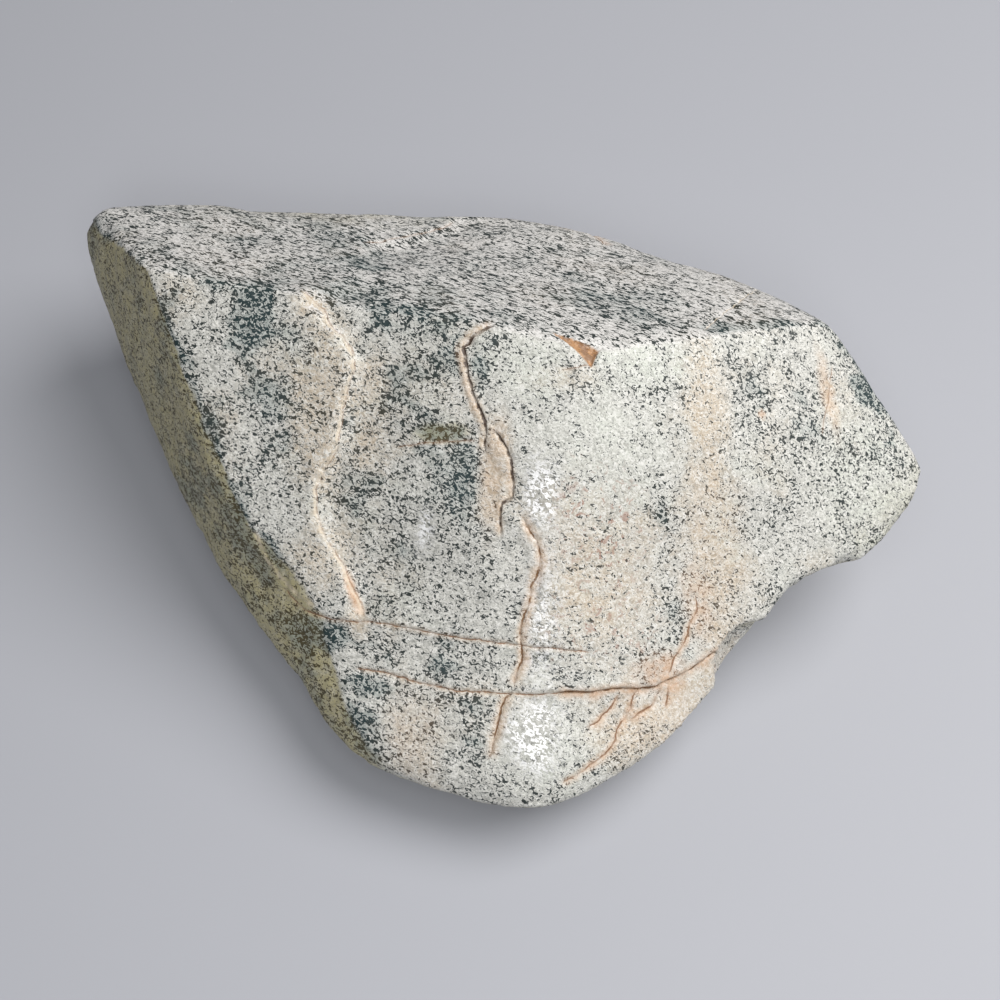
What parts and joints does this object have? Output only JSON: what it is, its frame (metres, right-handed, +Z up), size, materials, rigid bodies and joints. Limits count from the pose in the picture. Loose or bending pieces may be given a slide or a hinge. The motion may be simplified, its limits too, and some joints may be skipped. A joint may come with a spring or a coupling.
{
  "type": "rough jadeite stone",
  "caption": "Rough block of speckled green-grey and cream jadeite with a long ridge, a stepped broken face and a small flat resting patch.",
  "frame": {"origin": "centre of the bounding box at the bottom, in the plane of the flat resting patch", "axes": "+Z up; +X along the long axis; -Y the side that the broad stepped face slopes down to"},
  "size_m": [0.1414, 0.1074, 0.054],
  "materials": {
    "jadeite": "rough broken stone with a slight waxy gloss, cream and grey ground with dark green flecks and brown-stained cracks"
  },
  "bodies": {
    "root": {"jadeite_stone": "jadeite"}
  },
  "joints": []
}
